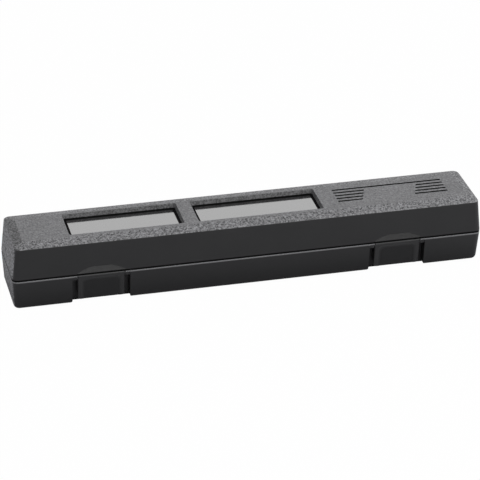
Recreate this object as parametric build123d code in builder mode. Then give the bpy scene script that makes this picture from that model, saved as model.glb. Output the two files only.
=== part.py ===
"""Long moulded case for one hand tool, with a hinged lid and two rocker latches.

X runs along the case, the front is towards -Y, +Z is up. The origin is the middle
of the underside. Lengths are in millimetres.
"""
import os
from build123d import *

os.makedirs("parts", exist_ok=True)

# Outline of the case
case_length = 560.0
case_width = 86.0
base_height = 38.5
lid_wall_height = 40.0
crown_rise = 3.0
crown_run_side = 13.0
crown_run_end = 11.0
base_draft_end = 2.0
base_draft_side = 3.9
lid_draft_end = 4.1
lid_draft_side = 0.6
corner_radius = 7.0
foot_radius = 5.0
base_rim_radius = 2.0
lid_edge_chamfer = 0.6
lid_rim_radius = 1.6
wall = 3.0
parting_gap = 0.3

# Label recesses in the lid, from the end of the case and from the edges of its flat top
recess_start = 70.0
recess_short_length = 135.0
recess_bridge = 16.75
recess_long_length = 149.5
recess_front_margin = 5.4
recess_rear_margin = 2.4
recess_depth = 7.0
recess_draft = 2.2
recess_skin = 2.5
recess_corner = 2.5
plate_thickness = 1.0
plate_gap = 2.2
plate_corner = 1.2

# Moulded grooves beside the bare field on the lid
groove_count = 5
groove_pitch = 7.2
groove_width = 3.0
groove_depth = 0.8
groove_shift = 1.8
groove_bridge = 20.75
groove_end_inset = 33.7
field_width = 64.0
field_slant = 0.34

# Rocker latches in the front of the base
latch_inset = 103.0
notch_width = 67.5
notch_depth = 13.0
notch_corner = 4.0
tab_width = 55.0
tab_top_drop = 1.2
tab_bottom_height = 4.8
tab_thickness = 2.6
tab_edge_chamfer = 0.9
tab_low_corner = 3.5
tab_flange = 2.2
tab_flange_depth = 6.5
dish_border = 3.5
dish_corner = 6.0
dish_depth = 1.4
dish_slope = 4.5
pivot_inset = 4.6
pivot_drop = 5.5
barrel_radius = 3.3
lug_radius = 3.0
lug_gap = 0.6
lug_rim_height = 2.4
latch_pin_radius = 1.25
latch_fit = 0.05
pin_seat_fit = 0.02
hook_rise = 13.2
hook_inset = 7.4
hook_thickness = 2.0
hook_width = 30.0
hook_nose = 1.3
hook_nose_height = 2.0
hook_clearance = 0.5

# Finger scoops and keepers in the front of the lid
scoop_width = 63.0
scoop_height = 10.6
scoop_depth = 2.7
scoop_ramp = 8.0
keeper_low = 1.2
keeper_high = 13.0
keeper_slot_depth = 1.5
keeper_slot_margin = 0.5
keeper_slot_side = 1.0

# Hinges along the back
hinge_end_inset = 90.0
hinge_inset = 4.8
knuckle_radius = 4.2
knuckle_gap = 0.4
base_knuckle_length = 12.0
lid_knuckle_length = 22.0
hinge_web_height = 12.0
hinge_pin_radius = 1.5
hinge_fit = 0.06

# Foam inserts in the base, three blocks that share the pockets for the tool
insert_top = 30.0
insert_rest = 0.1
insert_clearance = 0.4
insert_split_gap = 0.2
insert_from_head = 140.0
insert_before_grip = 3.0
pocket_corner = 5.0
tool_axis_inset = 38.0
tool_floor = 8.0
head_inset = 45.0
head_pocket_size = 54.0
shaft_width = 30.0
grip_end_inset = 37.0
grip_length = 188.0
grip_width = 40.0
finger_from_head = 175.0
finger_from_grip_end = 143.0
finger_length = 50.0
finger_front_inset = 18.5
finger_rear_inset = 8.5
finger_floor = 15.0
bit_front_inset = 17.0
bit_gap = 10.0
bit_width = 18.0
bit_floor = 17.0

# Foam pad in the lid
foam_low = 12.0
foam_margin = 2.5
foam_gap = 0.2
foam_front_margin = 8.0

# Stiffening ribs under the roof of the lid
lid_rib_thickness = 2.0
lid_rib_count = 3

# Heights and places worked out from these
front = -case_width / 2
rear = case_width / 2
parting = base_height
lid_low = parting + parting_gap
lid_rim = parting + lid_wall_height
lid_top = lid_rim + crown_rise
recess_floor = lid_top - recess_depth
housing_low = recess_floor - recess_skin
hinge_y = rear + hinge_inset
pivot_y = front + pivot_inset
pivot_z = parting - pivot_drop
latch_offset = case_length / 2 - latch_inset
latch_places = {"left": -latch_offset, "right": latch_offset}
hinge_offset = case_length / 2 - hinge_end_inset
hinge_places = {"left": -hinge_offset, "centre": 0.0, "right": hinge_offset}


def base_size(height, inset=0.0):
    """Length and width of the base at a height, moved in by inset on each side."""
    share = (parting - height) / parting
    return (
        case_length - 2 * (base_draft_end * share + inset),
        case_width - 2 * (base_draft_side * share + inset),
    )


def lid_size(height, inset=0.0):
    """Length and width of the lid's walls at a height, moved in by inset."""
    share = (height - parting) / lid_wall_height
    return (
        case_length - 2 * (lid_draft_end * share + inset),
        case_width - 2 * (lid_draft_side * share + inset),
    )


def crown_size(inset=0.0):
    """Length and width of the flat top of the lid."""
    length, width = lid_size(lid_rim)
    return (
        length - 2 * (crown_run_end + inset),
        width - 2 * (crown_run_side + inset),
    )


def drafted_block(low, low_size, high, high_size, radius):
    """Block with flat drafted sides between the heights low and high, rounded at its corners."""
    with BuildPart() as block:
        for plane, low_span, high_span, depth in (
            (Plane.XZ, low_size[0], high_size[0], case_width),
            (Plane.YZ, low_size[1], high_size[1], case_length),
        ):
            mode = Mode.ADD if plane == Plane.XZ else Mode.INTERSECT
            with BuildSketch(plane):
                with BuildLine():
                    Polyline(
                        (-low_span / 2, low),
                        (low_span / 2, low),
                        (high_span / 2, high),
                        (-high_span / 2, high),
                        close=True,
                    )
                make_face()
            extrude(amount=depth, both=True, mode=mode)
        corners = block.edges().filter_by(lambda edge: edge.bounding_box().size.Z > (high - low) / 2)
        fillet(corners, radius)
    return block.part


def front_y(height):
    """Y of the drafted front face of the base at a height."""
    return -base_size(height)[1] / 2


def save(part, name):
    """Name one finished piece and write it."""
    part.label = name
    export_step(part, f"parts/{name}.step")


# Outside of the base, also used to trim what is added to its walls
with BuildPart() as base_outside:
    add(drafted_block(0, base_size(0), parting, base_size(parting), corner_radius))
    fillet(base_outside.faces().sort_by(Axis.Z)[0].edges(), foot_radius)
    fillet(base_outside.faces().sort_by(Axis.Z)[-1].edges(), base_rim_radius)

base_cavity = drafted_block(
    wall, base_size(wall, wall), parting, base_size(parting, wall), corner_radius - wall
)

# Middle and length of each recess along the lid, and the grooves beside them
recess_short_end = recess_start + recess_short_length - case_length / 2
recess_short_x = recess_short_end - recess_short_length / 2
recess_long_x = recess_short_end + recess_bridge + recess_long_length / 2
recess_long_end = recess_long_x + recess_long_length / 2
recess_places = {
    "short": (recess_short_x, recess_short_length),
    "long": (recess_long_x, recess_long_length),
}
recess_width = crown_size()[1] - recess_front_margin - recess_rear_margin
recess_middle_y = (recess_front_margin - recess_rear_margin) / 2
groove_start_x = recess_long_end + groove_bridge
groove_end_x = case_length / 2 - groove_end_inset
groove_middle_x = (groove_start_x + groove_end_x) / 2
groove_middle_y = recess_middle_y + groove_shift

# Places of the pockets and of the cuts between the foam inserts
tool_axis_y = rear - tool_axis_inset
head_x = -case_length / 2 + head_inset
grip_end_x = case_length / 2 - grip_end_inset
grip_start_x = grip_end_x - grip_length
finger_x = (head_x + finger_from_head, grip_end_x - finger_from_grip_end)
finger_width = case_width - finger_front_inset - finger_rear_inset
finger_y = (finger_front_inset - finger_rear_inset) / 2
insert_splits = (head_x + insert_from_head, grip_start_x - insert_before_grip)
bit_start_x = finger_x[0] + finger_length / 2 + bit_gap
bit_length = insert_splits[1] - bit_gap - bit_start_x
bit_y = front + bit_front_inset

# Walls round each latch notch
housing_reach = notch_depth + wall
with BuildPart() as notch_housings:
    with BuildSketch(Plane.XY):
        with Locations((-latch_offset, front), (latch_offset, front)):
            Rectangle(
                notch_width + 2 * wall, housing_reach, align=(Align.CENTER, Align.MIN)
            )
    extrude(amount=parting)
    add(base_outside.part, mode=Mode.INTERSECT)

# Pivot lugs in the top corners of each notch
lug_length = (notch_width - tab_width) / 2 - lug_gap
with BuildPart() as pivot_lugs:
    for middle in latch_places.values():
        for side in (-1, 1):
            start = middle + side * (notch_width / 2 + wall / 2)
            with BuildSketch(Plane.YZ.offset(start)):
                with Locations((pivot_y, pivot_z)):
                    Circle(lug_radius)
                with Locations((pivot_y - lug_radius, pivot_z)):
                    Rectangle(notch_depth, pivot_drop, align=(Align.MIN, Align.MIN))
                with Locations((front, parting - lug_rim_height)):
                    Rectangle(notch_depth, lug_rim_height, align=(Align.MIN, Align.MIN))
            extrude(amount=-side * (lug_length + wall / 2))
    add(base_outside.part, mode=Mode.INTERSECT)


def hinge_knuckles(spans, direction):
    """Knuckles over the given X spans, with webs that reach a back wall.

    direction is -1 for the base, below the parting plane, and 1 for the lid.
    """
    web_edge = parting if direction < 0 else lid_low
    with BuildPart() as knuckles:
        for start, length in spans:
            with BuildSketch(Plane.YZ.offset(start)):
                with Locations((hinge_y, parting)):
                    Circle(knuckle_radius)
                with BuildLine():
                    Polyline(
                        (rear - wall / 2, web_edge),
                        (rear - wall / 2, parting + direction * hinge_web_height),
                        (hinge_y, parting + direction * knuckle_radius),
                        (hinge_y, web_edge),
                        close=True,
                    )
                make_face()
            extrude(amount=length)
        with BuildSketch(Plane.YZ.offset(-case_length / 2)):
            with Locations((hinge_y, parting)):
                Circle(hinge_pin_radius + hinge_fit)
        extrude(amount=case_length, mode=Mode.SUBTRACT)
    return knuckles.part


lid_knuckle_spans = [
    (middle - lid_knuckle_length / 2, lid_knuckle_length) for middle in hinge_places.values()
]
knuckle_pitch = lid_knuckle_length / 2 + knuckle_gap
base_knuckle_spans = [
    (middle + offset, base_knuckle_length)
    for middle in hinge_places.values()
    for offset in (knuckle_pitch, -knuckle_pitch - base_knuckle_length)
]

# Lower half of the case
with BuildPart() as base_shell:
    add(base_outside.part)
    add(base_cavity, mode=Mode.SUBTRACT)
    add(notch_housings.part)
    # Notches, open at the front and below, with rounded lower corners
    with BuildSketch(Plane.XZ.offset(-(front + notch_depth))):
        with Locations((-latch_offset, 0), (latch_offset, 0)):
            Rectangle(notch_width, 2 * parting)
            with Locations((-notch_width / 2, 0), (notch_width / 2, 0)):
                Rectangle(2 * notch_corner, 2 * notch_corner)
        with Locations((-latch_offset, notch_corner), (latch_offset, notch_corner)):
            with Locations(
                (-notch_width / 2 - notch_corner, 0), (notch_width / 2 + notch_corner, 0)
            ):
                Circle(notch_corner, mode=Mode.SUBTRACT)
    extrude(amount=notch_depth + wall, mode=Mode.SUBTRACT)
    add(pivot_lugs.part)
    # Bores for the latch pins, open towards the inside of the case
    for middle in latch_places.values():
        with BuildSketch(Plane.YZ.offset(middle - notch_width / 2 - 2 * wall)):
            with Locations((pivot_y, pivot_z)):
                Circle(latch_pin_radius + pin_seat_fit)
        extrude(amount=notch_width + 4 * wall, mode=Mode.SUBTRACT)
    add(hinge_knuckles(base_knuckle_spans, -1))
save(base_shell.part, "base_shell")

# Pockets in the foam: each outline with the height of its floor
with BuildSketch() as tool_outline:
    with Locations((head_x, tool_axis_y)):
        RectangleRounded(head_pocket_size, head_pocket_size, pocket_corner)
        Rectangle(grip_end_x - head_x, shaft_width, align=(Align.MIN, Align.CENTER))
    with Locations((grip_end_x - grip_length / 2, tool_axis_y)):
        RectangleRounded(grip_length, grip_width, pocket_corner)
with BuildSketch() as finger_outline:
    with Locations(*[(x, finger_y) for x in finger_x]):
        RectangleRounded(finger_length, finger_width, pocket_corner)
with BuildSketch() as bit_outline:
    with Locations((bit_start_x + bit_length / 2, bit_y)):
        RectangleRounded(bit_length, bit_width, pocket_corner)
pockets = (
    (tool_outline.sketch, tool_floor),
    (finger_outline.sketch, finger_floor),
    (bit_outline.sketch, bit_floor),
)

# The foam as one block that fits the base and steps round the latch notches
insert_low = wall + insert_rest
housing_half = notch_width / 2 + wall + insert_clearance
housing_back = housing_reach + insert_clearance
with BuildPart() as insert_block:
    add(
        drafted_block(
            insert_low,
            base_size(insert_low, wall + insert_clearance),
            insert_top,
            base_size(insert_top, wall + insert_clearance),
            corner_radius - wall,
        )
    )
    with BuildSketch(Plane.XY):
        with Locations((-latch_offset, front), (latch_offset, front)):
            Rectangle(2 * housing_half, 2 * housing_back)
    extrude(amount=parting, mode=Mode.SUBTRACT)
    for outline, floor in pockets:
        with BuildSketch(Plane.XY.offset(floor)):
            add(outline)
        extrude(amount=parting, mode=Mode.SUBTRACT)

# The same block cut in three
insert_edges = (-case_length / 2, *insert_splits, case_length / 2)
for name, start, end in zip(("left", "middle", "right"), insert_edges, insert_edges[1:]):
    with BuildPart() as foam_insert:
        add(insert_block.part)
        with BuildSketch(Plane.YZ.offset(start + insert_split_gap / 2)):
            Rectangle(2 * case_width, 2 * parting)
        extrude(amount=end - start - insert_split_gap, mode=Mode.INTERSECT)
    save(foam_insert.part, f"foam_insert_{name}")


def lid_block(inset, low):
    """Block of the lid's outside, or of its inside when it is moved in by a wall."""
    rim = lid_rim - inset
    with BuildSketch(Plane.XY.offset(lid_top - inset)) as crown:
        RectangleRounded(*crown_size(inset / 2), corner_radius - inset)
    with BuildPart() as block:
        add(drafted_block(low, lid_size(low, inset), rim, lid_size(rim, inset), corner_radius - inset))
        loft([block.faces().sort_by(Axis.Z)[-1], crown.sketch.face()])
    return block.part


# Arched finger scoops: a dip under an arch that ramps out to the lower edge
arch_radius = (scoop_width**2 / 4 + scoop_height**2) / (2 * scoop_height)
with BuildPart() as scoops:
    for middle in latch_places.values():
        with BuildSketch(Plane.YZ.offset(middle - scoop_width / 2)):
            with BuildLine():
                Polyline(
                    (front, parting),
                    (front + scoop_depth, parting + scoop_ramp),
                    (front + scoop_depth, lid_rim),
                    (front - wall, lid_rim),
                    (front - wall, parting),
                    close=True,
                )
            make_face()
        extrude(amount=scoop_width)
    with BuildSketch(Plane.XZ.offset(-front - 2 * wall)):
        with Locations(
            *[(middle, parting + scoop_height - arch_radius) for middle in latch_places.values()]
        ):
            Circle(arch_radius)
    extrude(amount=4 * wall, both=True, mode=Mode.INTERSECT)

# Recesses for the labels, wider at the top
with BuildPart() as recesses:
    for middle, length in recess_places.values():
        with BuildSketch(Plane.XY.offset(recess_floor)):
            with Locations((middle, recess_middle_y)):
                RectangleRounded(
                    length - 2 * recess_draft, recess_width - 2 * recess_draft, recess_corner
                )
        with BuildSketch(Plane.XY.offset(lid_top)):
            with Locations((middle, recess_middle_y)):
                RectangleRounded(length, recess_width, recess_corner)
        loft()

# Grooves: whole ones behind the bare field, the others broken off at its slanted sides
with BuildSketch(Plane.XY.offset(lid_top)) as groove_lines:
    for index in range(groove_count):
        y = groove_middle_y + (index - (groove_count - 1) / 2) * groove_pitch
        with Locations((groove_middle_x, y)):
            Rectangle(groove_end_x - groove_start_x, groove_width)
    field_low = -groove_count * groove_pitch / 2
    field_high = (groove_count / 2 - 1) * groove_pitch
    with BuildLine():
        Polyline(
            *[
                (groove_middle_x + half + field_slant * y, groove_middle_y + y)
                for half, y in (
                    (-field_width / 2, field_low),
                    (field_width / 2, field_low),
                    (field_width / 2, field_high),
                    (-field_width / 2, field_high),
                )
            ],
            close=True,
        )
    make_face(mode=Mode.SUBTRACT)

# Ribs: one near the end, one between the recesses, the others under the grooves
rib_pitch = (case_length / 2 - wall - recess_long_end) / lid_rib_count
lid_rib_places = [
    recess_long_end + (index + 1 / 2) * rib_pitch for index in range(lid_rib_count)
]
lid_rib_places += [(recess_start - case_length) / 2, recess_short_end + recess_bridge / 2]

# Lid
with BuildPart() as lid_shell:
    add(lid_block(0, lid_low))
    fillet(
        lid_shell.edges().filter_by(
            lambda edge: abs(edge.center().Z - lid_rim) < 0.01 and edge.bounding_box().size.Z < 0.01
        ),
        lid_rim_radius,
    )
    chamfer(lid_shell.faces().sort_by(Axis.Z)[0].edges(), lid_edge_chamfer)
    add(lid_block(wall, parting), mode=Mode.SUBTRACT)
    # Ribs and the undersides of the recesses, which carry the foam
    with BuildSketch(Plane.XY.offset(housing_low)):
        for middle, length in recess_places.values():
            with Locations((middle, recess_middle_y)):
                Rectangle(length, recess_width)
    extrude(amount=lid_top - wall / 2 - housing_low)
    with BuildSketch(Plane.XY.offset(housing_low)):
        for x in lid_rib_places:
            with Locations((x, 0)):
                Rectangle(lid_rib_thickness, crown_size()[1])
    extrude(amount=lid_top - wall / 2 - housing_low)
    # Keeper blocks behind the scoops
    keeper_reach = hook_inset - hook_nose - hook_clearance
    with BuildSketch(Plane.XY.offset(parting + keeper_low)):
        with Locations(*[(x, front + wall / 2) for x in latch_places.values()]):
            Rectangle(scoop_width + wall, keeper_reach - wall / 2, align=(Align.CENTER, Align.MIN))
    extrude(amount=keeper_high - keeper_low)
    slot_half = hook_nose_height / 2 + keeper_slot_margin
    slot_low = pivot_z + hook_rise - hook_nose_height / 2 - slot_half
    with BuildSketch(Plane.XY.offset(slot_low)):
        with Locations(*[(x, front + keeper_reach) for x in latch_places.values()]):
            Rectangle(hook_width + 2 * keeper_slot_side, 2 * keeper_slot_depth)
    extrude(amount=2 * slot_half, mode=Mode.SUBTRACT)
    add(scoops.part, mode=Mode.SUBTRACT)
    add(recesses.part, mode=Mode.SUBTRACT)
    add(groove_lines.sketch)
    extrude(amount=-groove_depth, mode=Mode.SUBTRACT)
    add(hinge_knuckles(lid_knuckle_spans, 1))
save(lid_shell.part, "lid_shell")

# Smooth plates on the floors of the recesses
for name, (middle, length) in recess_places.items():
    with BuildPart() as label_plate:
        with BuildSketch(Plane.XY.offset(recess_floor)):
            with Locations((middle, recess_middle_y)):
                RectangleRounded(
                    length - 2 * (recess_draft + plate_gap),
                    recess_width - 2 * (recess_draft + plate_gap),
                    plate_corner,
                )
        extrude(amount=plate_thickness)
        chamfer(label_plate.faces().sort_by(Axis.Z)[-1].edges(), plate_thickness / 4)
    save(label_plate.part, f"label_plate_{name}")

# Foam pad
foam_length, foam_width = lid_size(lid_rim, wall + foam_margin)
foam_front = front + foam_front_margin
foam_back = foam_width / 2
with BuildPart() as lid_foam:
    with BuildSketch(Plane.XY.offset(parting + foam_low)):
        with Locations((0, (foam_front + foam_back) / 2)):
            RectangleRounded(foam_length, foam_back - foam_front, corner_radius)
    extrude(amount=housing_low - foam_gap - parting - foam_low)
save(lid_foam.part, "lid_foam")

# Rocker latches: front plate with a dish, flanges, barrel and hook arm
tab_low = tab_bottom_height
tab_top = parting - tab_top_drop
tab_middle_z = (tab_low + tab_top) / 2
hook_top = pivot_z + hook_rise
hook_front = front + hook_inset
hook_back = hook_front + hook_thickness
slope = base_draft_side / parting
for name, middle in latch_places.items():
    face_plane = Plane(
        origin=(middle, front_y(tab_middle_z), tab_middle_z), x_dir=(1, 0, 0), z_dir=(0, -1, -slope)
    )
    with BuildPart() as latch:
        # Front plate, thicker at the top where it meets the barrel
        with BuildSketch(Plane.YZ.offset(middle - tab_width / 2)):
            with BuildLine():
                Polyline(
                    (front_y(tab_low), tab_low),
                    (front_y(tab_top), tab_top),
                    (pivot_y, tab_top),
                    (pivot_y, pivot_z - barrel_radius),
                    (front_y(pivot_z) + tab_thickness, pivot_z - 2 * barrel_radius),
                    (front_y(tab_low) + tab_thickness, tab_low),
                    close=True,
                )
            make_face()
        extrude(amount=tab_width)
        low_corners = latch.edges().filter_by(Axis.Y).group_by(Axis.Z)[0]
        fillet(low_corners, tab_low_corner)
        chamfer(latch.faces().sort_by(Axis.Y)[0].edges(), tab_edge_chamfer)
        # Dish for the fingertips, open at the lower edge
        dish_width = tab_width - 2 * dish_border
        dish_height = 2 * (tab_top - tab_low - dish_border)
        dish_y = (tab_top - tab_low) / 2 - dish_border - dish_height / 2
        with BuildSketch(face_plane):
            with Locations((0, dish_y)):
                RectangleRounded(dish_width, dish_height, dish_corner)
        with BuildSketch(face_plane.offset(-dish_depth)):
            with Locations((0, dish_y)):
                RectangleRounded(
                    dish_width - 2 * dish_slope, dish_height - 2 * dish_slope, dish_corner
                )
        loft(mode=Mode.SUBTRACT)
        # Flanges at both ends
        for side in (-1, 1):
            with BuildSketch(Plane.YZ.offset(middle + side * (tab_width / 2 - tab_edge_chamfer))):
                with BuildLine():
                    Polyline(
                        (front_y(tab_low) + tab_thickness / 2, tab_low + tab_low_corner),
                        (front_y(pivot_z) + tab_thickness / 2, pivot_z),
                        (pivot_y + barrel_radius, pivot_z),
                        (front_y(tab_low) + tab_flange_depth, tab_low + tab_flange_depth),
                        (front_y(tab_low) + tab_thickness, tab_low + tab_low_corner),
                        close=True,
                    )
                make_face()
            extrude(amount=-side * tab_flange)
        # Barrel
        with BuildSketch(Plane.YZ.offset(middle - tab_width / 2)):
            with Locations((pivot_y, pivot_z)):
                Circle(barrel_radius)
        extrude(amount=tab_width)
        # Hook arm that rises inside the lid, with its nose towards the front
        with BuildSketch(Plane.YZ.offset(middle - hook_width / 2)):
            with BuildLine():
                Polyline(
                    (pivot_y, pivot_z - hook_thickness),
                    (hook_back, pivot_z - hook_thickness),
                    (hook_back, hook_top),
                    (hook_front, hook_top),
                    (hook_front - hook_nose, hook_top - hook_nose_height / 2),
                    (hook_front - hook_nose, hook_top - hook_nose_height),
                    (hook_front, hook_top - hook_nose_height),
                    (hook_front, pivot_z + hook_thickness / 2),
                    (pivot_y, pivot_z + hook_thickness / 2),
                    close=True,
                )
            make_face()
        extrude(amount=hook_width)
        # Bore for the pin
        with BuildSketch(Plane.YZ.offset(middle - tab_width / 2)):
            with Locations((pivot_y, pivot_z)):
                Circle(latch_pin_radius + latch_fit)
        extrude(amount=tab_width, mode=Mode.SUBTRACT)
    save(latch.part, f"latch_{name}")

# Pins
for name, middle in latch_places.items():
    with BuildPart() as latch_pin:
        with BuildSketch(Plane.YZ.offset(middle - notch_width / 2 - wall)):
            with Locations((pivot_y, pivot_z)):
                Circle(latch_pin_radius)
        extrude(amount=notch_width + 2 * wall)
    save(latch_pin.part, f"latch_pin_{name}")
for name, middle in hinge_places.items():
    with BuildPart() as hinge_pin:
        half = knuckle_pitch + base_knuckle_length
        with BuildSketch(Plane.YZ.offset(middle - half)):
            with Locations((hinge_y, parting)):
                Circle(hinge_pin_radius)
        extrude(amount=2 * half)
    save(hinge_pin.part, f"hinge_pin_{name}")
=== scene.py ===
"""Looks of a long moulded tool case: finishes, foam inserts, foam pad and a plain studio."""
import math

import bmesh
import bpy
from mathutils import Matrix, Vector


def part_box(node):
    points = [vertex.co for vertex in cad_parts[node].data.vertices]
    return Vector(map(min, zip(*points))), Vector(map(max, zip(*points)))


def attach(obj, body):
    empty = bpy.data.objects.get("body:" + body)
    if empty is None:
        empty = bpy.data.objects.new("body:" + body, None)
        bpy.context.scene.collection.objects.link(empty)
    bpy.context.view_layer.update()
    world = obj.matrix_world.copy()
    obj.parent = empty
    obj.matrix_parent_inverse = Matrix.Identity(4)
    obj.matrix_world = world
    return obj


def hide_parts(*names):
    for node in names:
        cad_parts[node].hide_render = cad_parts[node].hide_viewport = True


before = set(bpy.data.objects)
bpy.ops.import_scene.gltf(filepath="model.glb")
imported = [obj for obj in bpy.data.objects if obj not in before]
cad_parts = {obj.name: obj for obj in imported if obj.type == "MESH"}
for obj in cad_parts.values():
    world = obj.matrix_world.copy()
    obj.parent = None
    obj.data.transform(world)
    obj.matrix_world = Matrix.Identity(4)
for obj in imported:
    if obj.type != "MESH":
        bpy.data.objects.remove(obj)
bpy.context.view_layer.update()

bl_info = {
    "name": "Moulded tool case",
    "version": (1, 0, 0),
    "blender": (4, 5, 0),
    "location": "3D View > Sidebar > Tool case",
    "description": "Finishes and soft parts of a long moulded tool case, with its studio",
    "category": "Object",
}

MM = 0.001
LID_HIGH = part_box("lid_shell")[1]
FRONT, REAR, PARTING = -43 * MM, 43 * MM, 38.5 * MM

# Bounds of the crown, the label recesses and the moulded grooves
CROWN_LOW = LID_HIGH.z - 6 * MM
END_LOW = LID_HIGH.x - 12 * MM
RECESS_LOW = LID_HIGH.z - 8 * MM
RECESS_FOOT = RECESS_LOW + 3 * MM
RECESS_HALF, RECESSES_END = 27.5 * MM, 262 * MM
GROOVES_START, GROOVES_END, GROOVES_HALF = 95 * MM, 260 * MM, 24 * MM
GROOVE_TOP = LID_HIGH.z - 0.12 * MM
SCOOP_HIGH = CROWN_LOW - 4 * MM

# Painted dark line between the halves and the painted highlight on the rim under it
LINE_HIGH, LINE_LOW = PARTING + 1.3 * MM, PARTING - 1.3 * MM
RIM_LOW = PARTING - 3.2 * MM

# How far a latch's face leans, and how deep its dish is
LATCH_SLOPE = 3.9 / 38.5
DISH_DEPTH = 1.3 * MM

PAD_LOW, PAD_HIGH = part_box("lid_foam")
INSERTS = ("foam_insert_left", "foam_insert_middle", "foam_insert_right")


class Sock:
    """One value in a material; arithmetic on it adds Math nodes."""

    def __init__(self, shader, socket):
        self.shader = shader
        self.socket = socket

    def math(self, operation, *values):
        return self.shader.add("ShaderNodeMath", {"operation": operation}, (self, *values))

    def __add__(self, other):
        return self.math("ADD", other)

    __radd__ = __add__

    def __mul__(self, other):
        return self.math("MULTIPLY", other)

    __rmul__ = __mul__

    def __sub__(self, other):
        return self.math("SUBTRACT", other)

    def __rsub__(self, other):
        return self.shader.add("ShaderNodeMath", {"operation": "SUBTRACT"}, (other, self))

    def __pow__(self, other):
        return self.math("POWER", other)

    def __abs__(self):
        return self.math("ABSOLUTE")

    def most(self, other):
        """The larger of two values."""
        return self.math("MAXIMUM", other)

    def above(self, low, high):
        """0 below low, 1 above high, smooth between."""
        return self.shader.add(
            "ShaderNodeMapRange",
            {"interpolation_type": "SMOOTHSTEP"},
            {"Value": self, "From Min": low, "From Max": high},
        )

    def below(self, low, high):
        """1 below low, 0 above high, smooth between."""
        return 1 - self.above(low, high)


class Shader:
    """The nodes of a material or of the world, built one by one."""

    def __init__(self, owner):
        self.owner = owner
        owner.use_nodes = True
        self.tree = owner.node_tree
        self.tree.nodes.clear()

    def add(self, kind, settings=None, values=(), output=0):
        """One node: its settings first, then the values or links of its sockets."""
        node = self.tree.nodes.new(kind)
        for key, value in (settings or {}).items():
            setattr(node, key, value)
        for key, value in values.items() if isinstance(values, dict) else enumerate(values):
            if isinstance(value, Sock):
                self.tree.links.new(value.socket, node.inputs[key])
            else:
                node.inputs[key].default_value = value
        return Sock(self, node.outputs[output]) if node.outputs else None

    def place(self):
        """Object coordinates."""
        return self.add("ShaderNodeTexCoord", output="Object")

    def parts(self, vector):
        """X, Y and Z of a vector."""
        return [
            self.add("ShaderNodeSeparateXYZ", values=(vector,), output=axis) for axis in "XYZ"
        ]

    def facing(self):
        """X, Y and Z of the surface's own normal."""
        return self.parts(self.add("ShaderNodeTexCoord", output="Normal"))

    def noise(self, place, size, detail=2.0, roughness=0.5):
        """Soft noise whose blotches are about size metres wide."""
        return self.add(
            "ShaderNodeTexNoise",
            values={"Vector": place, "Scale": 1 / size, "Detail": detail, "Roughness": roughness},
        )

    def cells(self, place, size):
        """Rounded cells about size metres wide, 0 in their middles."""
        return self.add(
            "ShaderNodeTexVoronoi",
            {"feature": "SMOOTH_F1"},
            {"Vector": place, "Scale": 1 / size, "Smoothness": 0.6},
        )

    def blend(self, share, first, second):
        """Colour that goes from first to second with share."""
        return self.add(
            "ShaderNodeMix",
            {"data_type": "RGBA"},
            {0: share, 6: first, 7: second},
            output=2,
        )

    def bump(self, height, depth, under=None):
        """Normal raised by height, which is in 0 to 1, times depth in metres."""
        values = {"Height": height, "Distance": depth}
        if under is not None:
            values["Normal"] = under
        return self.add("ShaderNodeBump", values=values)

    def principled(self, values):
        """A Principled surface that isn't yet the end of the material."""
        return self.add("ShaderNodeBsdfPrincipled", values=values)

    def surface(self, values):
        """Ends the material with one Principled surface."""
        return self.finish(self.principled(values))

    def blended(self, share, first, second):
        """A surface that goes from first to second with share."""
        return self.add("ShaderNodeMixShader", values={0: share, 1: first, 2: second})

    def mixed(self, share, first, second):
        """Ends the material with two surfaces, the second where share is 1."""
        return self.finish(self.blended(share, first, second))

    def finish(self, shader):
        """Ends the material with a shader and gives the material."""
        self.add("ShaderNodeOutputMaterial", values={"Surface": shader})
        return self.owner


def paint(name):
    """The nodes of a new material."""
    return Shader(bpy.data.materials.new(name))


def grey(value):
    """A neutral colour, a trace cooler than grey."""
    return (value, value, value * 1.04, 1.0)


class FinishSettings(bpy.types.PropertyGroup):
    """Colours and grain of the plastics."""

    smooth_tone: bpy.props.FloatProperty(
        name="Smooth plastic", description="Colour value of the smooth faces", default=0.006
    )
    # Grained faces' tone: partly the plastic's own grey, partly painted sheen.
    grain_and_sheen_tone: bpy.props.FloatProperty(
        name="Grained plastic", description="Colour value of the grained faces", default=0.11
    )
    grain_size: bpy.props.FloatProperty(
        name="Grain size", description="Width of one grain", default=1.9 * MM, unit="LENGTH"
    )
    grain_depth: bpy.props.FloatProperty(
        name="Grain depth", description="Height of the grain", default=0.4 * MM, unit="LENGTH"
    )
    plate_roughness: bpy.props.FloatProperty(
        name="Plate roughness", description="Roughness of the label plates", default=0.12
    )


class FoamSettings(bpy.types.PropertyGroup):
    """Shapes of the foam in the lid and in the base."""

    pitch: bpy.props.FloatProperty(
        name="Pitch", description="From a peak of the pad to the next valley", default=14 * MM,
        unit="LENGTH",
    )
    depth: bpy.props.FloatProperty(
        name="Depth", description="From peak to valley", default=9 * MM, unit="LENGTH"
    )
    rim: bpy.props.FloatProperty(
        name="Rim", description="Width of the flat rim of the pad", default=1.5 * MM,
        unit="LENGTH",
    )
    corner: bpy.props.FloatProperty(
        name="Corner", description="Radius of the pad's corners", default=7 * MM, unit="LENGTH"
    )
    step: bpy.props.FloatProperty(
        name="Step", description="Width of one face of the pad", default=3.6 * MM, unit="LENGTH"
    )
    voxel: bpy.props.FloatProperty(
        name="Voxel", description="Width of one face of the inserts", default=1.6 * MM,
        unit="LENGTH",
    )
    dent: bpy.props.FloatProperty(
        name="Dents", description="Unevenness of the inserts", default=0.5 * MM, unit="LENGTH"
    )
    edge: bpy.props.FloatProperty(
        name="Edge", description="Rounding of the cut edges of the inserts", default=1.2 * MM,
        unit="LENGTH",
    )
    tone: bpy.props.FloatProperty(
        name="Foam", description="Colour value of the foam", default=0.035
    )


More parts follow.
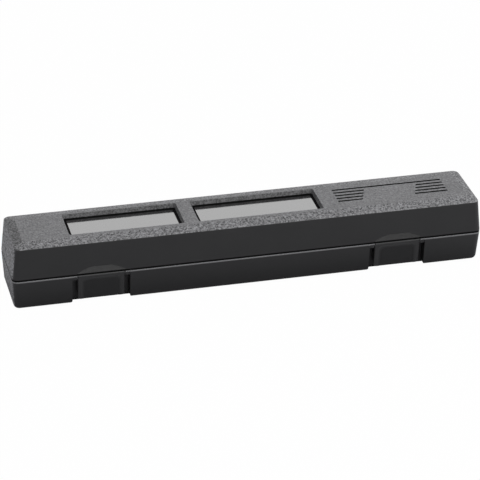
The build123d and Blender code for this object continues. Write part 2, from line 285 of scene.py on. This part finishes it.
class StageSettings(bpy.types.PropertyGroup):
    """Camera, lamps and floor."""

    eye: bpy.props.FloatVectorProperty(
        name="Eye", description="Place of the camera", default=(-0.635226, -2.483301, 1.410524),
        subtype="TRANSLATION",
    )
    azimuth: bpy.props.FloatProperty(
        name="Azimuth", description="Camera's angle from the front, towards +X",
        default=math.radians(-14.27679), subtype="ANGLE",
    )
    elevation: bpy.props.FloatProperty(
        name="Elevation", description="Camera's angle above the floor",
        default=math.radians(28.17399), subtype="ANGLE",
    )
    roll: bpy.props.FloatProperty(
        name="Roll", description="Turn of the camera about its line of sight",
        default=math.radians(0.73466), subtype="ANGLE",
    )
    lens: bpy.props.FloatProperty(
        name="Lens", description="Focal length on a 36 mm sensor", default=185.8027
    )
    world_level: bpy.props.FloatProperty(
        name="World", description="Light from all round", default=0.38
    )
    floor_tone: bpy.props.FloatProperty(
        name="Floor", description="Colour value of the floor", default=0.62
    )
    floor_glow: bpy.props.FloatProperty(
        name="Floor glow", description="Share of plain white in the floor as the camera sees it",
        default=0.985,
    )


def tool_settings():
    """The settings that the scene holds for this add-on."""
    return bpy.context.scene.tool_case


class ToolCaseSettings(bpy.types.PropertyGroup):
    """All settings of the tool case."""

    finish: bpy.props.PointerProperty(type=FinishSettings)
    foam: bpy.props.PointerProperty(type=FoamSettings)
    stage: bpy.props.PointerProperty(type=StageSettings)


def dress(node, material):
    """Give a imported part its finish."""
    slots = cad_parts[node].material_slots
    for slot in slots:
        slot.material = material


def lid_painted_shade(shader, place, nz):
    """Share of painted shade on the lid: 1 in the lid's grooves, at the foot of its recesses, along
    its edge and in its scoops.
    """
    x, y, z = shader.parts(place)
    grooves = (
        x.above(GROOVES_START, GROOVES_START + MM)
        * z.above(CROWN_LOW, CROWN_LOW + MM)
        * z.below(GROOVE_TOP, GROOVE_TOP + 0.08 * MM)
        * abs(y).below(GROOVES_HALF, GROOVES_HALF + MM / 2)
        * x.below(GROOVES_END, GROOVES_END + MM)
    )
    foot = (
        z.above(RECESS_LOW, RECESS_LOW + MM / 2)
        * z.below(RECESS_FOOT, RECESS_FOOT + 0.3 * MM)
        * abs(y).below(RECESS_HALF, RECESS_HALF + MM / 2)
        * abs(x).below(RECESSES_END, RECESSES_END + MM)
    )
    edge = y.below(REAR, REAR + MM / 5) * z.below(LINE_HIGH, LINE_HIGH + MM / 5)
    scoop = nz.above(0.25, 0.4) * z.below(SCOOP_HIGH, SCOOP_HIGH + 2 * MM) * y.below(0, MM)
    # Mottling of the painted shade in the scoops.
    shade_mottle = shader.noise(place, 3 * MM, 3.0, 0.7).above(0.3, 0.7)
    return grooves.most(edge).most(foot).most(scoop * (0.84 + 0.16 * shade_mottle))


def shell_plastic(name, settings, crowned):
    """Black plastic: grained ends and crown, painted shade in dark lines and scoops, a painted
    highlight on the base's rim.
    """
    shader = paint(name)
    place = shader.place()
    x, y, z = shader.parts(place)
    nx, _, nz = shader.facing()
    grained = abs(nx).above(0.8, 0.95) * abs(x).above(END_LOW, END_LOW + 2 * MM)
    before_hinges = y.below(REAR, REAR + MM / 5)
    if crowned:
        crown = nz.above(0.35, 0.6) * z.above(CROWN_LOW, CROWN_LOW + MM)
        recess = (
            nz.below(0.3, 0.6)
            * z.above(RECESS_LOW, RECESS_LOW + MM)
            * abs(y).below(RECESS_HALF, RECESS_HALF + MM / 2)
        )
        grained = grained.most(crown).most(recess * 0.4)
        painted_shade = lid_painted_shade(shader, place, nz)
    else:
        # Painted shade: a dark line along the top of the base at the parting, and side faces darker
        # towards the bottom.
        line = before_hinges * z.above(LINE_LOW, LINE_LOW + MM / 5)
        painted_shade = line.most(z.below(0, PARTING) * abs(nz).below(0.5, 0.7) * 0.3)
    body = shader.blended(
        grained, smooth_side(shader, place, settings), grained_side(shader, place, nx, nz, settings)
    )
    if not crowned:
        # Painted highlight: a paler, glossier band along the base's rim.
        painted_highlight = shader.principled({
            "Base Color": grey(0.09), "Roughness": 0.4, "Specular IOR Level": 0.9,
        })
        rim = z.above(RIM_LOW, RIM_LOW + 0.8 * MM)
        body = shader.blended(rim * before_hinges, body, painted_highlight)
    # Near-black surface that paints the shade wherever the painted-shade share is 1.
    shade = shader.principled({
        "Base Color": grey(0.002), "Roughness": 0.8, "Specular IOR Level": 0.08,
    })
    return shader.mixed(painted_shade, body, shade)


def grained_side(shader, place, nx, nz, settings):
    """Moulded spark grain with its tips painted paler as highlight and left-leaning bevels painted
    darker as shade: quiet on the flat top, strong on the ends.
    """
    size = settings.grain_size
    height = shader.cells(place, size) * 0.7 + shader.noise(place, size / 2, 3.0, 0.6) * 0.6
    # Raised tips of the grain, painted paler as highlight.
    tips = height.above(0.3, 0.9)
    patches = shader.noise(place, 40 * MM, 3.0)
    mottle = shader.noise(place, 1.3 * size, 2.0, 0.7).above(0.4, 0.6)
    blotches = shader.noise(place, 5 * MM, 3.0, 0.65).above(0.35, 0.65)
    strength = 1.25 - 0.7 * nz.above(0.985, 0.995) + 0.7 * abs(nx).above(0.8, 0.95)
    # Tone of the grain, lifted partly by painted sheen.
    tone = settings.grain_and_sheen_tone
    speckle = (tips * 0.5 + mottle * 0.4 + blotches * 0.15 - 0.525) * strength + 0.5
    # Painted shade: faces that lean to the left are darker.
    left = 0 - nx
    bevel = left.above(0.12, 0.22) * left.below(0.5, 0.7)
    return shader.principled({
        "Base Color": shader.blend(
            speckle * (0.85 + 0.3 * patches) * (1 - 0.45 * bevel),
            grey(tone * 0.05),
            grey(tone * 2.15),
        ),
        "Roughness": 0.5 + 0.16 * (1 - tips),
        "Specular IOR Level": 0.4,
        "Normal": shader.bump(height, settings.grain_depth),
    })


def smooth_side(shader, place, settings):
    """Satin faces of the mould, with faint patches and rubbing."""
    patches = shader.noise(place, 40 * MM, 3.0)
    scuffs = shader.noise(place, 6 * MM, 4.0, 0.7)
    tone = settings.smooth_tone
    return shader.principled({
        "Base Color": shader.blend(patches, grey(tone * 0.85), grey(tone * 1.15)),
        "Roughness": 0.3 + 0.1 * patches + 0.06 * scuffs,
        "Specular IOR Level": 0.43,
        "Normal": shader.bump(scuffs, 0.02 * MM),
    })


def latch_plastic(name, settings):
    """Black satin plastic of the latches, duller in the dish for the fingertips."""
    shader = paint(name)
    place = shader.place()
    _, y, z = shader.parts(place)
    patches = shader.noise(place, 18 * MM, 3.0)
    scuffs = shader.noise(place, 3 * MM, 4.0, 0.7)
    look = {
        "Base Color": shader.blend(
            patches, grey(settings.smooth_tone * 0.8), grey(settings.smooth_tone * 1.2)
        ),
        "Roughness": 0.28 + 0.1 * patches + 0.08 * scuffs,
        "Normal": shader.bump(scuffs, 0.02 * MM),
    }
    inwards = y - (FRONT + LATCH_SLOPE * (PARTING - z))
    dish = inwards.above(0.2 * MM, DISH_DEPTH) * inwards.below(2 * MM, 2.2 * MM)
    return shader.mixed(
        dish, shader.principled(look), shader.principled({**look, "Specular IOR Level": 0.3})
    )


def plate_gloss(name, settings):
    """Polished black plates under the labels."""
    shader = paint(name)
    place = shader.place()
    waves = shader.noise(place, 60 * MM, detail=1.0)
    specks = shader.noise(place, 2 * MM, detail=3.0)
    return shader.surface({
        "Base Color": shader.blend(waves, grey(0.004), grey(0.008)),
        "Roughness": settings.plate_roughness * (0.8 + 0.4 * specks),
        "IOR": 1.6,
        "Specular IOR Level": 0.9,
        "Coat Weight": 0.6,
        "Coat Roughness": 0.05,
        "Normal": shader.bump(waves, 0.05 * MM),
    })


def foam_soft(name, settings):
    """Open-cell foam: fine pores, matt, with a little sheen."""
    shader = paint(name)
    place = shader.place()
    pores = shader.cells(place, 0.9 * MM)
    clumps = shader.noise(place, 5 * MM, detail=3.0)
    return shader.surface({
        "Base Color": shader.blend(
            pores.above(0.15, 0.6) * 0.7 + clumps * 0.3,
            grey(settings.tone * 1.4),
            grey(settings.tone * 0.5),
        ),
        "Roughness": 0.95,
        "Specular IOR Level": 0.2,
        "Sheen Weight": 0.15,
        "Sheen Roughness": 0.6,
        "Normal": shader.bump(pores, 0.4 * MM),
    })


def steel(name):
    """Plated steel of the pins, drawn along X."""
    shader = paint(name)
    place = shader.place()
    stretched = shader.add(
        "ShaderNodeMapping", values={"Vector": place, "Scale": (0.05, 1.0, 1.0)}
    )
    lines = shader.noise(stretched, 0.3 * MM, detail=3.0)
    stains = shader.noise(place, 4 * MM, detail=2.0)
    return shader.surface({
        "Base Color": shader.blend(stains, grey(0.5), grey(0.62)),
        "Metallic": 1.0,
        "Roughness": 0.26 + 0.16 * lines,
        "Normal": shader.bump(lines, 0.01 * MM),
    })


def begin(piece=None):
    """Select this piece alone, or nothing."""
    bpy.ops.object.select_all(action="DESELECT")
    if piece:
        piece.select_set(True)
        bpy.context.view_layer.objects.active = piece


def pick(kind, test):
    """In edit mode, select the vertices or edges whose every point passes the test."""
    bpy.ops.mesh.select_mode(type=kind)
    bpy.ops.mesh.select_all(action="DESELECT")
    shape = bmesh.from_edit_mesh(bpy.context.object.data)
    for item in shape.verts if kind == "VERT" else shape.edges:
        points = [item.co] if kind == "VERT" else [corner.co for corner in item.verts]
        item.select_set(all(test(point) for point in points))
    shape.select_flush_mode()
    bmesh.update_edit_mesh(bpy.context.object.data)


def modify(piece, kind, **settings):
    """Add one modifier and apply it."""
    modifier = piece.modifiers.new(kind.lower(), kind)
    for key, value in settings.items():
        setattr(modifier, key, value)
    begin(piece)
    bpy.ops.object.modifier_apply(modifier=modifier.name)


def settle(piece, name, material):
    """Finish a piece: name, material, and its place applied to its mesh."""
    piece.name = name
    piece.data.name = name
    piece.data.materials.clear()
    piece.data.materials.append(material)
    begin(piece)
    bpy.ops.object.transform_apply(location=True, rotation=True, scale=True)


def soften(piece, node, body, material):
    """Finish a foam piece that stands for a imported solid."""
    settle(piece, node + "_soft", material)
    bpy.ops.object.shade_smooth()
    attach(piece, body)
    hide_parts(node)


class TOOLCASE_OT_shells(bpy.types.Operator):
    """Grained and smooth plastic on both halves of the case"""

    bl_idname = "toolcase.shells"
    bl_label = "Case halves"

    def execute(self, context):
        settings = tool_settings().finish
        dress("lid_shell", shell_plastic("lid_plastic", settings, crowned=True))
        dress("base_shell", shell_plastic("base_plastic", settings, crowned=False))
        return {"FINISHED"}


class TOOLCASE_OT_latches(bpy.types.Operator):
    """Satin plastic on both latches"""

    bl_idname = "toolcase.latches"
    bl_label = "Latches"

    def execute(self, context):
        material = latch_plastic("latch_satin", tool_settings().finish)
        for node in ("latch_left", "latch_right"):
            dress(node, material)
        return {"FINISHED"}


class TOOLCASE_OT_plates(bpy.types.Operator):
    """Polished plates in the label recesses"""

    bl_idname = "toolcase.plates"
    bl_label = "Label plates"

    def execute(self, context):
        material = plate_gloss("plate_gloss", tool_settings().finish)
        for node in ("label_plate_short", "label_plate_long"):
            dress(node, material)
        return {"FINISHED"}


class TOOLCASE_OT_inserts(bpy.types.Operator):
    """Soft foam inserts with rounded cut edges in the base"""

    bl_idname = "toolcase.inserts"
    bl_label = "Foam inserts"

    def execute(self, context):
        settings = tool_settings().foam
        material = foam_soft("insert_foam", settings)
        dents = bpy.data.textures.new("foam_dents", "CLOUDS")
        dents.noise_scale = 14 * MM
        for node in INSERTS:
            piece = bpy.data.objects.new(node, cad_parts[node].data.copy())
            context.scene.collection.objects.link(piece)
            begin(piece)
            bpy.ops.mesh.customdata_custom_splitnormals_clear()
            bpy.ops.object.mode_set(mode="EDIT")
            bpy.ops.mesh.select_all(action="SELECT")
            bpy.ops.mesh.remove_doubles(threshold=0.01 * MM)
            bpy.ops.mesh.dissolve_limited(angle_limit=math.radians(2))
            bpy.ops.object.mode_set(mode="OBJECT")
            modify(
                piece, "BEVEL", width=settings.edge, segments=3, limit_method="ANGLE",
                angle_limit=math.radians(50),
            )
            modify(piece, "REMESH", mode="VOXEL", voxel_size=settings.voxel)
            modify(piece, "SMOOTH", factor=0.5, iterations=4)
            modify(
                piece, "DISPLACE", texture=dents, strength=settings.dent, mid_level=0.5,
                texture_coords="LOCAL",
            )
            soften(piece, node, "base", material)
        return {"FINISHED"}


class TOOLCASE_OT_pad(bpy.types.Operator):
    """Egg-crate foam pad in the lid"""

    bl_idname = "toolcase.pad"
    bl_label = "Lid pad"

    def execute(self, context):
        settings = tool_settings().foam
        size = PAD_HIGH - PAD_LOW
        middle = (PAD_HIGH + PAD_LOW) / 2
        begin()
        bpy.ops.mesh.primitive_grid_add(
            x_subdivisions=round(size.x / settings.step),
            y_subdivisions=round(size.y / settings.step),
            size=1, location=(middle.x, middle.y, PAD_LOW.z),
        )
        piece = context.object
        bpy.ops.transform.resize(value=(size.x, size.y, 1))
        bpy.ops.object.transform_apply(location=True, rotation=True, scale=True)
        bpy.ops.object.mode_set(mode="EDIT")
        bpy.ops.mesh.select_all(action="SELECT")
        bpy.ops.mesh.inset(thickness=settings.rim, use_boundary=True)
        bpy.ops.mesh.select_all(action="SELECT")
        bpy.ops.mesh.extrude_region_move(TRANSFORM_OT_translate={"value": (0, 0, size.z)})
        bpy.ops.mesh.select_all(action="SELECT")
        bpy.ops.mesh.normals_make_consistent(inside=False)
        half = size / 2
        pick("EDGE", lambda point: max(
            abs(point.x - middle.x) - half.x, abs(point.y - middle.y) - half.y
        ) > -MM / 10)
        shape = bmesh.from_edit_mesh(piece.data)
        for edge in shape.edges:
            if abs(edge.verts[0].co.z - edge.verts[1].co.z) > MM:
                edge.select_set(False)
        bpy.ops.mesh.bevel(offset=settings.rim * 0.7, segments=2, affect="EDGES")
        shape = bmesh.from_edit_mesh(piece.data)
        for point in [corner.co for corner in shape.verts]:
            self.carve(point, middle, half, settings)
        bmesh.update_edit_mesh(piece.data)
        bpy.ops.object.mode_set(mode="OBJECT")
        modify(piece, "SUBSURF", levels=1, render_levels=1)
        soften(piece, "lid_foam", "lid", foam_soft("pad_foam", settings))
        return {"FINISHED"}

    def carve(self, point, middle, half, settings):
        """Move one point of the pad: peaks and valleys below, rounded corners in plan."""
        across, along = point.x - middle.x, point.y - middle.y
        inside = min(half.x - abs(across), half.y - abs(along))
        if point.z < middle.z:
            turns = [math.cos(math.pi * value / settings.pitch) for value in (across, along)]
            wave = turns[0] * turns[1]
            reach = min(1.0, inside / settings.corner)
            point.z += settings.depth * reach * (1 - wave) / 2
        over = [
            abs(value) - (limit - settings.corner)
            for value, limit in ((across, half.x), (along, half.y))
        ]
        if min(over) > 0:
            pull = max(over) / math.hypot(*over) - 1
            point.x += math.copysign(over[0] * pull, across)
            point.y += math.copysign(over[1] * pull, along)


class TOOLCASE_OT_pins(bpy.types.Operator):
    """Plated steel on the pins of the latches and hinges"""

    bl_idname = "toolcase.pins"
    bl_label = "Pins"

    def execute(self, context):
        material = steel("pin_steel")
        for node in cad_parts:
            if "_pin_" in node:
                dress(node, material)
        return {"FINISHED"}


class TOOLCASE_OT_stage(bpy.types.Operator):
    """Floor, lamps, world and camera"""

    bl_idname = "toolcase.stage"
    bl_label = "Studio"

    def execute(self, context):
        settings = tool_settings().stage
        make_floor(settings)
        make_lamps()
        make_world(settings)
        make_camera(settings)
        context.scene.view_settings.view_transform = "Standard"
        return {"FINISHED"}


def ray(shader, name):
    """1 for rays of this kind."""
    return shader.add("ShaderNodeLightPath", output=name)


def make_floor(settings):
    """A wide pale floor that turns to plain white far from the case."""
    begin()
    bpy.ops.mesh.primitive_plane_add(size=24, location=(0, 0, 0))
    floor = bpy.context.object
    shader = paint("floor_paper")
    place = shader.place()
    x, y, _ = shader.parts(place)
    far = ((x * x + y * y) ** 0.5).above(0.5, 2.5)
    fibres = shader.noise(place, 1.5 * MM)
    tone = settings.floor_tone
    matt = shader.add(
        "ShaderNodeBsdfDiffuse",
        values={"Color": shader.blend(fibres, grey(tone * 0.99), grey(tone * 1.01))},
    )
    white = shader.add("ShaderNodeEmission", values={"Color": (1, 1, 1, 1), "Strength": 1.0})
    direct = ray(shader, "Is Camera Ray").most(ray(shader, "Is Transmission Ray"))
    near = direct * settings.floor_glow
    share = near + (direct.most(ray(shader, "Is Glossy Ray")) - near) * far
    material = shader.mixed(share, matt, white)
    settle(floor, "floor", material)


def lamp(name, place, aim, size, level):
    """A soft rectangular lamp whose face has the given brightness."""
    data = bpy.data.lights.new(name, "AREA")
    data.shape = "RECTANGLE"
    data.size, data.size_y = size
    data.energy = level * math.pi * size[0] * size[1]
    light = bpy.data.objects.new(name, data)
    bpy.context.scene.collection.objects.link(light)
    light.location = place
    light.rotation_euler = (Vector(aim) - Vector(place)).to_track_quat("-Z", "Y").to_euler()
    light.visible_camera = False
    return light


def make_lamps():
    """Lamps above, in front, behind and at each end, and a low one that the rim mirrors."""
    lamp("lamp_above", (-0.2, -0.5, 2.4), (0, 0, 0), (2.4, 1.6), 1.3)
    lamp("lamp_front", (0.3, -2.0, 1.65), (0, 0, 0.04), (2.2, 0.8), 2.8)
    lamp("lamp_low", (0.3, -2.4, 0.5), (0, 0, 0.04), (2.2, 0.4), 5.0)
    lamp("lamp_behind", (0.62, 2.35, 1.35), (0, 0, 0.06), (1.9, 1.0), 0.95)
    lamp("lamp_left", (-2.2, 0.3, 0.7), (0, 0, 0.04), (1.4, 0.9), 1.8)
    lamp("lamp_right", (2.3, -0.2, 1.1), (0, 0, 0.06), (1.6, 1.0), 6.0)


def make_world(settings):
    """An even pale world, plain white where it is seen or mirrored."""
    world = bpy.data.worlds.new("studio")
    bpy.context.scene.world = world
    shader = Shader(world)
    level = settings.world_level
    rays = [ray(shader, f"Is {name} Ray") for name in ("Camera", "Glossy", "Transmission")]
    white = rays[0].most(rays[1]).most(rays[2]) * (1 - level) + level
    surface = shader.add("ShaderNodeBackground", values={"Color": (1, 1, 1, 1), "Strength": white})
    shader.add("ShaderNodeOutputWorld", values={"Surface": surface})


def make_camera(settings):
    """The camera of the photograph."""
    azimuth, elevation, roll = settings.azimuth, settings.elevation, settings.roll
    back = Vector((
        math.sin(azimuth) * math.cos(elevation),
        -math.cos(azimuth) * math.cos(elevation),
        math.sin(elevation),
    ))
    side = Vector((0, 0, 1)).cross(back).normalized()
    up = back.cross(side)
    turned_side = math.cos(roll) * side + math.sin(roll) * up
    turned_up = math.cos(roll) * up - math.sin(roll) * side
    turn = Matrix((turned_side, turned_up, back)).transposed()
    data = bpy.data.cameras.new("camera")
    data.lens = settings.lens
    data.sensor_width = 36.0
    data.clip_start, data.clip_end = 0.05, 100.0
    camera = bpy.data.objects.new("camera", data)
    bpy.context.scene.collection.objects.link(camera)
    camera.matrix_world = Matrix.Translation(settings.eye) @ turn.to_4x4()
    bpy.context.scene.camera = camera


class TOOLCASE_PT_panel(bpy.types.Panel):
    """Buttons for the tool case's pieces"""

    bl_idname = "TOOLCASE_PT_panel"
    bl_label = "Tool case"
    bl_space_type = "VIEW_3D"
    bl_region_type = "UI"
    bl_category = "Tool case"

    def draw(self, context):
        for operator in OPERATORS:
            self.layout.operator(operator.bl_idname)


SETTINGS = (FinishSettings, FoamSettings, StageSettings, ToolCaseSettings)
OPERATORS = (
    TOOLCASE_OT_stage,
    TOOLCASE_OT_shells,
    TOOLCASE_OT_latches,
    TOOLCASE_OT_plates,
    TOOLCASE_OT_inserts,
    TOOLCASE_OT_pad,
    TOOLCASE_OT_pins,
)


def register():
    for cls in (*SETTINGS, *OPERATORS, TOOLCASE_PT_panel):
        bpy.utils.register_class(cls)
    bpy.types.Scene.tool_case = bpy.props.PointerProperty(type=ToolCaseSettings)


def unregister():
    del bpy.types.Scene.tool_case
    for cls in (TOOLCASE_PT_panel, *reversed(OPERATORS), *reversed(SETTINGS)):
        bpy.utils.unregister_class(cls)


def main():
    register()
    for operator in OPERATORS:
        group, name = operator.bl_idname.split(".")
        getattr(getattr(bpy.ops, group), name)()


if __name__ == "__main__":
    main()
